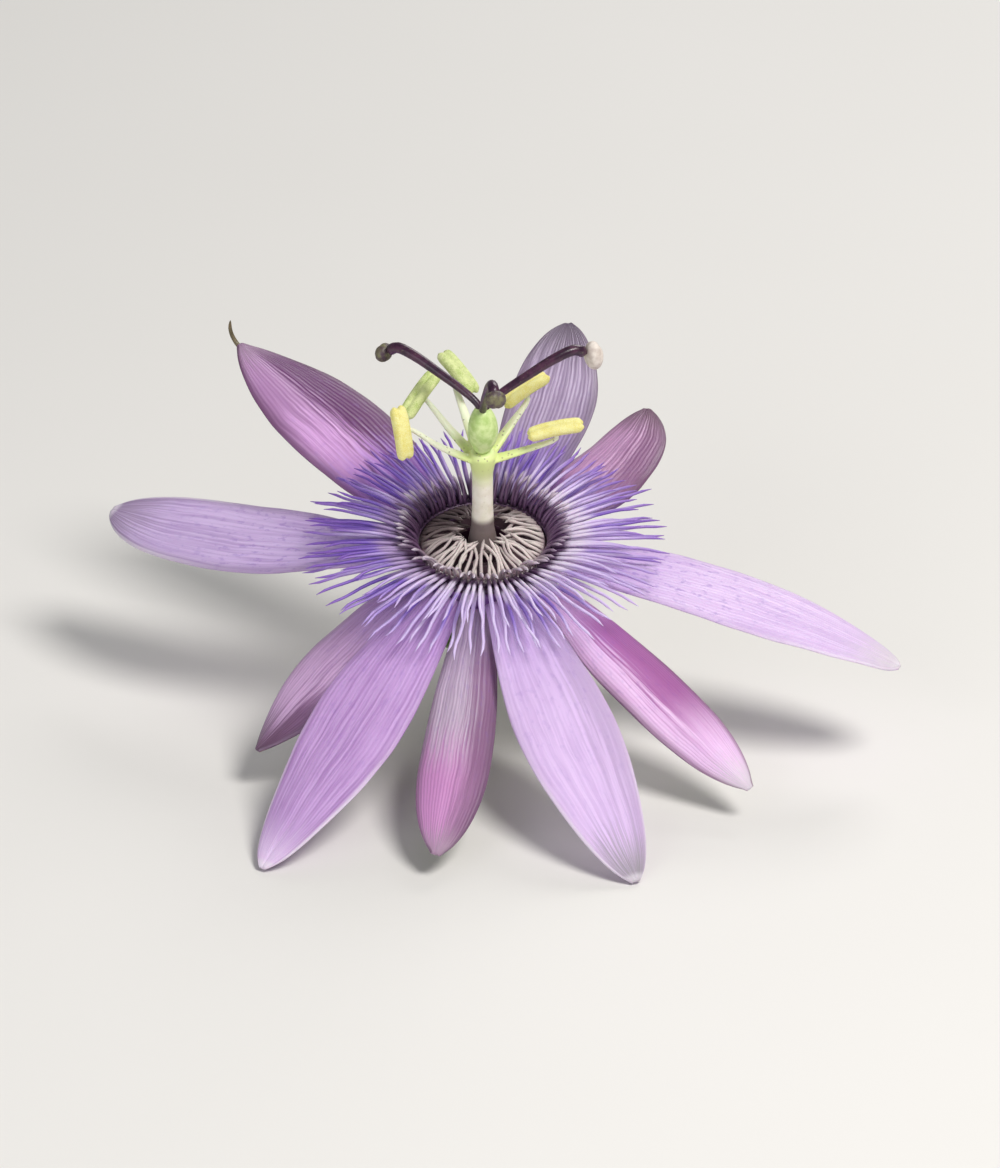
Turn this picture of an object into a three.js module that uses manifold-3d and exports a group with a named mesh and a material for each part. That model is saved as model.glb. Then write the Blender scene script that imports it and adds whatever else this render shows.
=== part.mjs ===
// A passion flower, picked with its stalk and laid face up on a flat surface.
//
// Millimetres, +Z up. Every piece is shaped in the flower's own frame: its origin is on the axis, just
// above the calyx cup's rim, +Z is the way the flower faces, and azimuths run anticlockwise from +X as seen
// from the face. The whole flower then leans on its stalk and two of its petals, and stands on the origin
// with the middle of its bounding box.

import * as THREE from "three";
import { mergeVertices } from "three/addons/utils/BufferGeometryUtils.js";
import Module from "manifold-3d";

const wasm = await Module();
wasm.setup();

// ---------------------------------------------------------------- driving dimensions

const LEAN = 11; // degrees that the flower's face leans from straight up, towards -Y
const GAP = 0.3; // between pieces that meet
const BLADE = 0.7; // thickness of a sepal, a petal or a bract
const BLADE_TIP = 1.3; // width of a blade where its outline closes

const RIM = 11.2; // radius of the calyx cup
const RIM_TOP = -0.9; // height of the flat shoulder that the corona stands on
const RIM_FOOT = -3.9; // lowest height at which the cup is that wide
const SHOULDER = 7.7; // radius where the shoulder drops into the nectar groove
const GROOVE_FLOOR = -3.2;
const BOSS = 3.3; // radius of the raised middle that carries the column
const BOSS_TOP = -1.9;
const CUP_DEPTH = 11.1; // from the origin down to the stalk

const COLUMN_TOP = 15.3;
const FILAMENTS_LEAVE = 13.6; // height at which the stamens' filaments part from the column
const OVARY_TOP = 22.6;

// The sepals are the outer whorl and the petals the inner one, 1.4 mm above it. For each tepal: the azimuth
// at its root and at its tip, the tip's distance from the axis, how far the tip hangs below the root (or
// rests, for a tip that lies on the surface), the blade's greatest width and the share of its length where
// that lies, how far its edges curl (up is positive), how sharply it is folded along the midrib, and its
// twist in degrees. A higher sharpness draws the outline in sooner towards the tip, and a higher droop
// keeps the blade level for longer before it falls.
const SEPAL = { level: -3.1, sharpness: 0.68 };
const PETAL = { level: -1.7, sharpness: 0.62 };
const SEPALS = [
  { root: 48, tip: 61, reach: 48, hang: 5, width: 12.5, curl: -0.1, fold: 0.06, twist: -10 },
  { root: 123, tip: 130.3, reach: 53, hang: -7.5, width: 16.2, curl: -0.08, fold: 0.05, twist: 8 },
  { root: 216, tip: 219, reach: 39.5, hang: 14, width: 10.6, curl: -0.12, fold: 0.06, twist: 8 },
  { root: 266, tip: 263, reach: 51.5, hang: 11, width: 9.8, widest: 0.64, curl: -0.3, fold: 0.05, twist: 0 },
  { root: 320, tip: 316.5, reach: 50, hang: 13, width: 9.9, curl: -0.06, fold: 0.42, twist: 16 },
];
const PETALS = [
  { root: 71, tip: 78, reach: 58, hang: 2, width: 12.5, curl: 0.06, fold: 0, twist: 6 },
  { root: 177, tip: 158, reach: 56, hang: 8.6, width: 14.8, curl: 0.05, fold: 0, twist: -13 },
  { root: 241, tip: 239.5, reach: 58, rests: true, width: 13.8, curl: -0.08, fold: 0, twist: 10 },
  { root: 288.5, tip: 291, reach: 57.5, rests: true, width: 14, curl: -0.06, fold: 0, twist: -4 },
  { root: 351, tip: 345, reach: 59, hang: 8.5, droop: 1.8, width: 13.4, curl: -0.05, fold: 0, twist: -14 },
];
const TEPAL = { rootShare: 0.52, widest: 0.5, droop: 1.25, ripple: 0.35, ripples: 1.6 };

// The horn leaves the back of the midrib at this share of the sepal's length and bends just under the tip.
// Each sepal's horn ends so far out from the tip, and so far up.
const AWN = { from: 0.82, radius: 0.5, tip: 0.16, sink: 0.2, under: 1 };
const AWN_ENDS = [
  [-2.5, -1.4],
  [2, 2.6],
  [-3.2, -1.2],
  [-2.5, -1.4],
  [-2.5, -1.4],
];

// Corona rows, from the outside in. Each is a ring on the shoulder that carries rays: their number, the
// elevation at which they leave and end, their length and their half thickness at the root. A ray may stray
// from the rule by a share of its length or of its place, by some degrees, and by a sideways wave.
const CORONA = {
  outer: { count: 56, inner: 10.55, outer: 11.1, rise: 0.6, leave: 6, end: -2, length: 14.4, thick: 0.42 },
  second: { count: 48, inner: 9.7, outer: 10.25, rise: 1.5, leave: 22, end: 1, length: 12, thick: 0.42 },
  palisade: { count: 36, inner: 8.85, outer: 9.4, rise: 1.9, leave: 69, end: 18, length: 4.2, thick: 0.38 },
  fringe: { count: 32, inner: 8, outer: 8.55, rise: 0.9, leave: 148, end: 174, length: 5.7, thick: 0.38 },
};
const RAY_STRAY = { length: 0.09, place: 0.14, elevation: 3.5, wave: 0.45 };
const RAY_SAG = 9; // degrees that the long rays at the front hang below the ones at the back
const ARC = 5; // points along a ray after its root

// For each stamen: the azimuth, distance and height of its filament's tip, and the way its anther has
// swung: the heading of its long axis and the pitch of that axis above the level.
const STAMENS = [
  { azimuth: 4, reach: 10.2, height: 17, heading: 6, pitch: 10 },
  { azimuth: 54, reach: 10.6, height: 18, heading: 36, pitch: 14 },
  { azimuth: 110, reach: 11.4, height: 19.6, heading: 309, pitch: -22 },
  { azimuth: 142, reach: 9.6, height: 19.4, heading: 50, pitch: 30 },
  { azimuth: 192, reach: 10.2, height: 20.5, heading: 120, pitch: 72 },
];
const ANTHER = { length: 8, lobe: 0.78, apart: 0.62, hold: 1.55 };

// The three styles rise a little more or less steeply than the line that they share. Each ends in a rounded
// stigma with its own half sizes: outwards, sideways and upright.
const STYLES = [
  { azimuth: 24, lift: 0, head: [1.25, 1.7, 2.1] },
  { azimuth: 144, lift: -7, head: [1.1, 1.45, 1.3] },
  { azimuth: 278, lift: 26, head: [1.1, 1.45, 1.3] },
];
const STYLE_LINE = [
  [0.9, 0.35],
  [3, 1.7],
  [7, 3.5],
  [11, 5.1],
  [13.7, 5.6],
  [15, 4.9],
]; // distances from the axis and heights above the ovary

// The stalk's line, from the cup down and back to its cut end, which lies on the surface.
const STALK = [
  [0, 0, -CUP_DEPTH - GAP],
  [0, 0.2, -16.8],
  [1.5, 4.6, -22.8],
  [4, 14.5, -28.2],
  [7.5, 28.5, -31.9],
  [11, 44, -35.1],
];
const STALK_RADIUS = 1.15;
const STALK_STEPS = 28;
const NECK = 0.5; // how much thicker the stalk is where it meets the cup

// The joint that carries the bracts, as shares of the stalk's length.
const JOINT = { at: 0.085, spread: 0.018, swell: 0.45 };
const BRACT = { count: 3, first: 90, width: 9, foot: -16.1, tip: -6.5, reach: 12, cupped: 0.3 };

// How finely the faceted pieces are cut.
const STEPS = { tepalLong: 15, tepalWide: 6, bractLong: 8, bractWide: 4, longRay: 4, shortRay: 2 };
const SIDES = { ray: 3, ring: 32, cup: 24, stalk: 8, column: 10, filament: 6, awn: 5 };

const COLOURS = {
  sepal: 0xb574b8,
  petal: 0xc39adb,
  calyx: 0xb9cf7e,
  stalk: 0x6f9440,
  bract: 0x5d8a34,
  ray: 0x6f4fb0,
  palisade: 0x2e1a33,
  fringe: 0xd8cbb5,
  limen: 0x3a2030,
  column: 0xe2e6b4,
  anther: 0xe6d97c,
  ovary: 0x9fc06c,
  style: 0x3d1f38,
  stigma: 0x8a9a62,
};

// ---------------------------------------------------------------- helpers

const rad = THREE.MathUtils.degToRad;
const { lerp, smoothstep } = THREE.MathUtils;

// A seeded source of numbers from -1 to 1.
function seeded(seed) {
  let state = seed;
  return () => {
    state = (state * 1664525 + 1013904223) % 4294967296;
    return (2 * state) / 4294967296 - 1;
  };
}

// The point at a distance from the axis, a height and an azimuth in degrees.
function polar(distance, azimuth, height) {
  return new THREE.Vector3(
    distance * Math.cos(rad(azimuth)),
    distance * Math.sin(rad(azimuth)),
    height,
  );
}

function solidOf(geometry) {
  const bare = geometry.clone();
  bare.deleteAttribute("normal");
  bare.deleteAttribute("uv");
  const merged = mergeVertices(bare, 1e-4);
  return new wasm.Manifold(
    new wasm.Mesh({
      numProp: 3,
      vertProperties: merged.attributes.position.array,
      triVerts: new Uint32Array(merged.index.array),
    }),
  );
}

// Several closed geometries joined into one.
function fuse(geometries) {
  const mesh = geometries.map(solidOf).reduce((whole, next) => whole.add(next)).getMesh();
  return new THREE.BufferGeometry()
    .setAttribute("position", new THREE.BufferAttribute(mesh.vertProperties, 3))
    .setIndex(new THREE.BufferAttribute(mesh.triVerts, 1));
}

// The half thickness and half width of a rod that is as wide as it is thick.
const round = (radius) => [radius, radius];

// A closed rod along a curve. sizeAt(t) gives its half thickness and its half width.
function rod(curve, sizeAt, sides, steps) {
  const geometry = new THREE.CylinderGeometry(1, 1, 1, sides, steps);
  const { normals, binormals } = curve.computeFrenetFrames(steps, false);
  const position = geometry.attributes.position;
  for (let i = 0; i < position.count; i++) {
    const t = position.getY(i) + 0.5;
    const step = Math.round(t * steps);
    const [thickness, width] = sizeAt(t);
    const point = curve
      .getPointAt(t)
      .addScaledVector(binormals[step], position.getX(i) * thickness)
      .addScaledVector(normals[step], position.getZ(i) * width);
    position.setXYZ(i, point.x, point.y, point.z);
  }
  return geometry;
}

function lathe(profile, segments) {
  const points = profile.map(([radius, height]) => new THREE.Vector2(radius, height));
  return new THREE.LatheGeometry(points, segments).rotateX(Math.PI / 2);
}

// A ring of rectangular section that closes on itself, standing on the shoulder.
function ring(inner, outer, rise) {
  const foot = RIM_TOP + GAP;
  const corners = [
    [inner, foot],
    [outer, foot],
    [outer, foot + rise],
    [inner, foot + rise],
    [inner, foot],
  ];
  return lathe(corners, SIDES.ring);
}

// A closed blade from a flat sheet. place(u, v) gives the middle of the blade at u along it, 0 to 1, and v
// across it, -1 to 1. The back has the same triangles as the front, so the two never cross.
function blade(place, alongSteps, acrossSteps) {
  const sheet = new THREE.PlaneGeometry(2, 1, acrossSteps, alongSteps);
  const flat = sheet.attributes.position;
  const front = [];
  const back = [];
  const near = 1e-3;
  for (let i = 0; i < flat.count; i++) {
    const u = 0.5 - flat.getY(i);
    const v = flat.getX(i);
    const along = place(u + near, v).sub(place(u - near, v));
    const across = place(u, v + near).sub(place(u, v - near));
    const normal = across.cross(along).normalize().multiplyScalar(BLADE / 2);
    front.push(...place(u, v).add(normal).toArray());
    back.push(...place(u, v).sub(normal).toArray());
  }
  const count = flat.count;
  const faces = [];
  const sheetFaces = sheet.index.array;
  for (let i = 0; i < sheetFaces.length; i += 3) {
    const [a, b, c] = sheetFaces.slice(i, i + 3);
    faces.push(a, c, b, a + count, b + count, c + count);
  }
  const row = acrossSteps + 1;
  const rim = [];
  for (let i = 0; i < acrossSteps; i++) rim.push(i);
  for (let j = 0; j < alongSteps; j++) rim.push(j * row + acrossSteps);
  for (let i = acrossSteps; i > 0; i--) rim.push(alongSteps * row + i);
  for (let j = alongSteps; j > 0; j--) rim.push(j * row);
  rim.forEach((a, i) => {
    const b = rim[(i + 1) % rim.length];
    faces.push(b, a, a + count, b, a + count, b + count);
  });
  return new THREE.BufferGeometry()
    .setAttribute("position", new THREE.Float32BufferAttribute([...front, ...back], 3))
    .setIndex(faces);
}

// The lowest point of a piece, along the upright of the surface that the flower lies on.
function lowest(geometry, azimuth) {
  const turned = geometry.clone().rotateZ(rad(azimuth)).rotateX(rad(LEAN));
  turned.computeBoundingBox();
  return turned.boundingBox.min.z;
}

const bloom = new THREE.Group();

function add(name, geometry, colour, roughness = 0.6, azimuth = 0) {
  geometry.computeVertexNormals();
  const material = new THREE.MeshStandardMaterial({ color: colour, roughness, metalness: 0 });
  const mesh = new THREE.Mesh(geometry, material);
  mesh.name = name;
  mesh.rotation.z = rad(azimuth);
  bloom.add(mesh);
}

// ---------------------------------------------------------------- sepals and petals

// Half width along a tepal: a narrower root, then the widest place, and a tip that closes more or less
// sharply.
function halfWidth(u, { width, widest = TEPAL.widest }, sharpness) {
  const share = THREE.MathUtils.clamp(u, 0, 1);
  if (share < widest) {
    const grown = Math.sin((Math.PI / 2) * (share / widest)) ** 1.2;
    return (width / 2) * lerp(TEPAL.rootShare, 1, grown);
  }
  const past = (share - widest) / (1 - widest);
  return Math.max((width / 2) * (1 - past ** 2) ** sharpness, BLADE_TIP / 2);
}

// A tepal's middle surface, in the flower's frame turned so that its root lies towards +X.
function tepalSurface(spec, { level, sharpness }) {
  const { root, tip, reach, hang, curl, fold, twist, droop = TEPAL.droop } = spec;
  const start = RIM + GAP;
  const midrib = (u) => {
    const height = level - hang * Math.abs(u) ** droop;
    return polar(lerp(start, reach, u), (tip - root) * u, height);
  };
  return (u, v) => {
    const along = midrib(u + 0.01).sub(midrib(u - 0.01)).normalize();
    const side = new THREE.Vector3(0, 0, 1).cross(along).normalize();
    side.applyAxisAngle(along, rad(twist) * smoothstep(u, 0.25, 0.9));
    const up = along.clone().cross(side);
    const half = halfWidth(u, spec, sharpness);
    const free = smoothstep(u, 0, 0.35);
    const phase = TEPAL.ripples * u + root / 90 + 0.2 * v;
    const ripple = TEPAL.ripple * v ** 2 * free * Math.sin(2 * Math.PI * phase);
    const crease = fold * free * (Math.hypot(v, 0.12) - 0.12);
    const lift = half * (curl * v ** 2 - crease) + ripple;
    return midrib(u).addScaledVector(side, v * half).addScaledVector(up, lift);
  };
}

function tepal(spec, whorl) {
  return blade(tepalSurface(spec, whorl), STEPS.tepalLong, STEPS.tepalWide);
}

// The horn behind a sepal's tip.
function awn(spec, [out, up]) {
  const surface = tepalSurface(spec, SEPAL);
  const root = surface(AWN.from, 0);
  const tip = surface(1, 0);
  const end = tip.clone().addScaledVector(tip.clone().sub(root).normalize(), out);
  const bend = root.clone().lerp(tip, 0.65);
  root.z -= AWN.sink;
  bend.z -= AWN.under;
  end.z += up;
  const line = new THREE.QuadraticBezierCurve3(root, bend, end);
  return rod(line, (t) => round(lerp(AWN.radius, AWN.tip, t)), SIDES.awn, 3);
}

// ---------------------------------------------------------------- stalk and bracts

function stalk() {
  const line = new THREE.CatmullRomCurve3(STALK.map((point) => new THREE.Vector3(...point)));
  const size = (t) => {
    const neck = NECK * (1 - smoothstep(t, 0, 0.05));
    const joint = JOINT.swell * Math.exp(-(((t - JOINT.at) / JOINT.spread) ** 2));
    return round(STALK_RADIUS + neck + joint);
  };
  return rod(line, size, SIDES.stalk, STALK_STEPS);
}

// A bract with its root towards +X, cupped up round the calyx from the stalk's joint.
function bract() {
  const line = new THREE.QuadraticBezierCurve3(
    new THREE.Vector3(STALK_RADIUS + JOINT.swell + GAP, 0, BRACT.foot),
    new THREE.Vector3(0.82 * BRACT.reach, 0, BRACT.foot + 1),
    new THREE.Vector3(BRACT.reach, 0, BRACT.tip),
  );
  const side = new THREE.Vector3(0, 1, 0);
  const surface = (u, v) => {
    const share = THREE.MathUtils.clamp(u, 0, 1);
    const bulge = Math.sin(Math.PI * lerp(0.12, 1, share)) ** 0.7;
    const half = Math.max((BRACT.width / 2) * bulge, BLADE_TIP / 2);
    const up = line.getTangent(share).cross(side);
    const lift = BRACT.cupped * half * v ** 2;
    return line.getPoint(share).addScaledVector(side, v * half).addScaledVector(up, lift);
  };
  return blade(surface, STEPS.bractLong, STEPS.bractWide);
}

// ---------------------------------------------------------------- calyx, corona and column

function calyxCup() {
  return lathe(
    [
      [0, -CUP_DEPTH],
      [1.9, -CUP_DEPTH],
      [4.3, -9.9],
      [7.5, -8.1],
      [9.9, -5.7],
      [RIM, RIM_FOOT],
      [RIM, RIM_TOP],
      [SHOULDER, RIM_TOP],
      [SHOULDER - 0.3, GROOVE_FLOOR],
      [BOSS + 0.3, GROOVE_FLOOR],
      [BOSS, BOSS_TOP],
      [0, BOSS_TOP],
    ],
    SIDES.cup,
  );
}

// The raised collar round the column's foot.
function limen() {
  return lathe(
    [
      [2.75, BOSS_TOP + GAP],
      [3.2, BOSS_TOP + GAP],
      [3.7, 0.3],
      [3.25, 0.4],
      [2.75, BOSS_TOP + GAP],
    ],
    SIDES.cup,
  );
}

// One row of the corona: a ring with its rays fused in, each ray a tapered arc that strays a little.
function coronaRow({ count, inner, outer, rise, leave, end, length, thick }, seed) {
  const random = seeded(seed);
  const long = length > outer;
  const rays = [];
  for (let i = 0; i < count; i++) {
    const azimuth = (360 / count) * (i + RAY_STRAY.place * random());
    const advance = (length * (1 + RAY_STRAY.length * random())) / ARC;
    const stray = RAY_STRAY.elevation * random();
    const sag = long ? RAY_SAG * (0.5 - 0.5 * Math.sin(rad(azimuth))) : 0;
    const sway = long ? RAY_STRAY.wave * random() : 0;
    const points = [new THREE.Vector3((inner + outer) / 2, 0, RIM_TOP + GAP + 0.7 * rise)];
    for (let k = 1; k <= ARC; k++) {
      const elevation = rad(lerp(leave, end, k / ARC) + stray - (sag * k) / ARC);
      const next = points[k - 1].clone();
      next.x += advance * Math.cos(elevation);
      next.z += advance * Math.sin(elevation);
      next.y = sway * (k / ARC) * Math.sin((1.5 * Math.PI * k) / ARC);
      points.push(next);
    }
    const line = new THREE.CatmullRomCurve3(points);
    const size = (t) => round(thick * lerp(1, 0.45, t));
    rays.push(rod(line, size, SIDES.ray, long ? STEPS.longRay : STEPS.shortRay).rotateZ(rad(azimuth)));
  }
  return fuse([ring(inner, outer, rise), ...rays]);
}

// The column with its five free filaments, grown as one piece.
function androgynophore() {
  const column = lathe(
    [
      [0, BOSS_TOP + GAP],
      [2.4, BOSS_TOP + GAP],
      [1.9, 0.9],
      [1.6, 2.6],
      [1.45, 6],
      [1.45, FILAMENTS_LEAVE - 2],
      [1.8, FILAMENTS_LEAVE],
      [1.9, COLUMN_TOP - 0.6],
      [1.5, COLUMN_TOP],
      [0, COLUMN_TOP],
    ],
    SIDES.column,
  );
  const filaments = STAMENS.map((stamen) => {
    const size = (t) => [lerp(0.5, 0.36, t), lerp(1.05, 0.42, t)];
    return rod(filamentLine(stamen), size, SIDES.filament, 7);
  });
  return fuse([column, ...filaments]);
}

// A filament leaves the column level and rises towards its tip.
function filamentLine({ azimuth, reach, height }) {
  const rise = height - FILAMENTS_LEAVE;
  return new THREE.CatmullRomCurve3([
    polar(0.6, azimuth, FILAMENTS_LEAVE),
    polar(2.6, azimuth, FILAMENTS_LEAVE + 0.16 * rise),
    polar(0.6 * reach, azimuth, FILAMENTS_LEAVE + 0.5 * rise),
    polar(reach, azimuth, height),
  ]);
}

// An anther with two pollen lobes, held by its middle just off the end of its filament.
function anther(stamen) {
  const lobes = [-1, 1].map((side) =>
    new THREE.CapsuleGeometry(ANTHER.lobe, ANTHER.length - 2 * ANTHER.lobe, 2, 7)
      .rotateZ(-Math.PI / 2)
      .translate(0, (side * ANTHER.apart) / 2, 0),
  );
  const axis = polar(Math.cos(rad(stamen.pitch)), stamen.heading, Math.sin(rad(stamen.pitch)));
  const line = filamentLine(stamen);
  const offset = line.getTangent(1).add(new THREE.Vector3(0, 0, 1.2)); // outward and up
  offset.addScaledVector(axis, -offset.dot(axis)).setLength(ANTHER.hold);
  const hold = line.getPoint(1).add(offset);
  return fuse(lobes)
    .rotateY(-rad(stamen.pitch))
    .rotateZ(rad(stamen.heading))
    .translate(hold.x, hold.y, hold.z);
}

function ovary() {
  const [foot, height] = [COLUMN_TOP + GAP, OVARY_TOP - COLUMN_TOP - GAP];
  return lathe(
    [
      [0, foot],
      [1.1, foot],
      [1.85, foot + 0.24 * height],
      [2.05, foot + 0.5 * height],
      [1.7, foot + 0.77 * height],
      [1.1, foot + 0.95 * height],
      [0, OVARY_TOP],
    ],
    12,
  );
}

// A style's line rises straight from the ovary's top and then nods. The lift swings it up about its foot.
function styleLine(lift) {
  const swing = new THREE.Quaternion().setFromAxisAngle(new THREE.Vector3(0, -1, 0), rad(lift));
  const foot = new THREE.Vector3(STYLE_LINE[0][0], 0, OVARY_TOP);
  return new THREE.CatmullRomCurve3(
    STYLE_LINE.map(([out, rise]) =>
      new THREE.Vector3(out - foot.x, 0, rise).applyQuaternion(swing).add(foot),
    ),
  );
}

function style(lift) {
  return rod(styleLine(lift), (t) => round(lerp(0.5, 0.8, t)), 7, 8);
}

// The stigma is a rounded head just past the style's end.
function stigma({ lift, head }) {
  const line = styleLine(lift);
  const heading = line.getTangent(1);
  const clear = Math.hypot(head[0] * heading.x, head[2] * heading.z) + GAP;
  const place = line.getPoint(1).addScaledVector(heading, clear);
  return new THREE.SphereGeometry(1, 9, 6).scale(...head).translate(place.x, 0, place.z);
}

// ---------------------------------------------------------------- the flower put together

const stalkGeometry = stalk();
const surfaceLevel = lowest(stalkGeometry, 0);

// How far a resting petal's tip has to hang for its lowest point to meet the surface, found by halving.
function restingHang(spec) {
  let [enough, short] = [40, 0];
  for (let i = 0; i < 30; i++) {
    const hang = (enough + short) / 2;
    if (lowest(tepal({ ...spec, hang }, PETAL), spec.root) > surfaceLevel) short = hang;
    else enough = hang;
  }
  return short;
}

add("calyx_cup", calyxCup(), COLOURS.calyx, 0.5);
add("stalk", stalkGeometry, COLOURS.stalk, 0.5);
for (let i = 0; i < BRACT.count; i++) {
  add(`bract_${i + 1}`, bract(), COLOURS.bract, 0.5, BRACT.first + (360 / BRACT.count) * i);
}

SEPALS.forEach((spec, i) => {
  add(`sepal_${i + 1}`, fuse([tepal(spec, SEPAL), awn(spec, AWN_ENDS[i])]), COLOURS.sepal, 0.6, spec.root);
});
PETALS.forEach((spec, i) => {
  const hang = spec.rests ? restingHang(spec) : spec.hang;
  add(`petal_${i + 1}`, tepal({ ...spec, hang }, PETAL), COLOURS.petal, 0.6, spec.root);
});

add("corona_outer_rays", coronaRow(CORONA.outer, 11), COLOURS.ray, 0.5);
add("corona_second_rays", coronaRow(CORONA.second, 23), COLOURS.ray, 0.5);
add("corona_palisade", coronaRow(CORONA.palisade, 37), COLOURS.palisade, 0.5);
add("operculum_fringe", coronaRow(CORONA.fringe, 51), COLOURS.fringe, 0.5);
add("limen", limen(), COLOURS.limen, 0.4);

add("androgynophore", androgynophore(), COLOURS.column, 0.45);
STAMENS.forEach((stamen, i) => {
  add(`anther_${i + 1}`, anther(stamen), COLOURS.anther, 0.8);
});
add("ovary", ovary(), COLOURS.ovary, 0.45);
STYLES.forEach((bearing, i) => {
  add(`style_${i + 1}`, style(bearing.lift), COLOURS.style, 0.35, bearing.azimuth);
  add(`stigma_${i + 1}`, stigma(bearing), COLOURS.stigma, 0.5, bearing.azimuth);
});

// Laid down: the face leans, and the middle of the flower's base comes to the origin.
bloom.rotation.x = rad(LEAN);
bloom.updateMatrixWorld(true);
const box = new THREE.Box3().setFromObject(bloom, true);
const middle = box.getCenter(new THREE.Vector3());
bloom.position.set(-middle.x, -middle.y, -box.min.z);

const flower = new THREE.Group();
flower.add(bloom);

export default flower;
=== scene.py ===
"""A passion flower, picked with its stalk and laid face up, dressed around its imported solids.

Shapes are worked out in millimetres in the flower's own frame: the origin is on the axis just above the
calyx rim, Z is the way that the flower faces, and azimuths run anticlockwise from +X. LAID brings a finished
mesh to metres in the row frame. A line is a list of points, and a blade is a sepal, petal or bract.
"""

import math
import random

import bmesh
import bpy
from mathutils import Euler, Matrix, Vector, noise


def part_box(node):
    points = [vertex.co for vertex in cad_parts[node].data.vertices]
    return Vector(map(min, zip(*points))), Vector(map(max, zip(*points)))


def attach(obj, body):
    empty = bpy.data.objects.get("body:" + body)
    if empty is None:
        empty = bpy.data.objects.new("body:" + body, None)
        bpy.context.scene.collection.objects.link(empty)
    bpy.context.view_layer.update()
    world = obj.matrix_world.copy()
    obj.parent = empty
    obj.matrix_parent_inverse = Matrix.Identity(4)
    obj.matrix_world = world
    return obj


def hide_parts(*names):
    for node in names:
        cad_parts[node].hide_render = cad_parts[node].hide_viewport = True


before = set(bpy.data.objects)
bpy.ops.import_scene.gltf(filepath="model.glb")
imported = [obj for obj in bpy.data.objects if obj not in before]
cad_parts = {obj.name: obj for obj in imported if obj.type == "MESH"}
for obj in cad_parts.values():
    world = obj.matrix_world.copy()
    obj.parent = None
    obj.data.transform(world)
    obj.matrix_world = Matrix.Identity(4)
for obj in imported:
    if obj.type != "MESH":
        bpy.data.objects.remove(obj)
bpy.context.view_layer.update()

MM = 0.001
UP = Vector((0, 0, 1))
SIDE = Vector((0, 1, 0))  # sideways for a piece that is drawn towards +X

# ------ driving dimensions, in millimetres and degrees

LEAN = math.radians(11)  # how far the flower's face leans from straight up, towards -Y
GAP = 0.3  # between pieces that meet
BLADE = 0.7  # thickness of a blade along its midrib
BLADE_EDGE = 0.42  # and at its edge
BLADE_TIP = 1.0  # width where its outline closes

RIM = 11.2  # radius of the calyx cup
RIM_TOP = -0.9  # height of the flat shoulder that the corona stands on
RIM_FOOT = -3.9  # lowest height at which the cup is that wide
SHOULDER = 7.7  # radius where the shoulder drops into the nectar groove
GROOVE_FLOOR = -3.2
BOSS = 3.3
BOSS_TOP = -1.9
CUP_DEPTH = 11.1

COLUMN_TOP = 15.3
FILAMENTS_LEAVE = 13.6
OVARY_TOP = 22.6

SEPAL = dict(level=-3.1, sharpness=0.68)
PETAL = dict(level=-1.7, sharpness=0.62)
# A blade's azimuths at its root and tip, its reach from the axis, how far its tip hangs, its width, how far
# its edges curl up and its halves fold down, as shares of half the width, and how it twists towards its tip.
SEPALS = [
    dict(root=48, tip=61, reach=48, hang=5, width=12.5, curl=-0.1, fold=0.06, twist=-10),
    dict(root=123, tip=130.3, reach=53, hang=-7.5, width=16.2, curl=-0.08, fold=0.05, twist=8),
    dict(root=216, tip=219, reach=39.5, hang=14, width=10.6, curl=-0.12, fold=0.06, twist=8),
    dict(root=266, tip=263, reach=51.5, hang=11, width=9.8, widest=0.64, curl=-0.3, fold=0.05, twist=0),
    dict(root=320, tip=316.5, reach=50, hang=13, width=9.9, curl=-0.06, fold=0.42, twist=16),
]
PETALS = [
    dict(root=71, tip=78, reach=58, hang=2, width=12.5, curl=0.06, twist=6),
    dict(root=177, tip=158, reach=56, hang=8.6, width=14.8, curl=0.05, twist=-13),
    dict(root=241, tip=239.5, reach=58, rests=True, width=13.8, curl=-0.08, twist=10),
    dict(root=288.5, tip=291, reach=57.5, rests=True, width=14, curl=-0.06, twist=-4),
    dict(root=351, tip=345, reach=59, hang=8.5, droop=1.8, width=13.4, sharpness=0.4, curl=-0.05, twist=-14),
]
# ripple, crimp and furrow are heights of the blade's relief, and ripples is how many run along an edge.
TEPAL = dict(root_share=0.52, widest=0.5, droop=1.25, ripple=0.35, ripples=1.6, crimp=0.16, furrow=0.12)
TEPAL_CELLS = (64, 16)  # of the grid that a blade is drawn from, along it and across
SEPAL_KEEL = 0.22

# A sepal's awn bends at a share of the way to the sepal's tip, and ends out from the tip and up from it.
AWN = dict(start=0.82, radius=0.5, tip=0.26, sink=0.2, under=1.54, steps=10)
PLAIN_AWN = dict(bend=0.65, out=-2.5, up=-1.4)
AWNS = [PLAIN_AWN, dict(bend=1.4, out=1.6, up=3.2), dict(bend=0.65, out=-3.2, up=-1.2), PLAIN_AWN, PLAIN_AWN]

# Corona rows, as in the solids but with more rays and thinner ones. leave and end are a ray's elevations.
CORONA = {
    "corona_outer_rays": dict(
        slot="ray", count=88, inner=10.55, rise=0.6, leave=6, end=-2, length=14.4, thick=0.36
    ),
    "corona_second_rays": dict(
        slot="ray", count=80, inner=9.7, rise=1.5, leave=22, end=1, length=12, thick=0.34
    ),
    "corona_palisade": dict(
        slot="palisade", count=72, inner=8.85, rise=1.9, leave=69, end=18, length=4.2, thick=0.26
    ),
    "operculum_fringe": dict(
        slot="fringe", count=64, inner=8, rise=0.9, leave=148, end=174, length=5.7, thick=0.3, sway=2.6
    ),
}
RAY_STRAY = dict(length=0.09, place=0.3, elevation=3.5, wave=0.45)
RAY_CRIMP = (0.32, 0.1)  # how far a long ray's tip wavers sideways and up
RAY_SAG = 9  # degrees by which the long rays in front end lower
RING_WIDTH = 0.55  # of the ring that a row grows from
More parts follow.
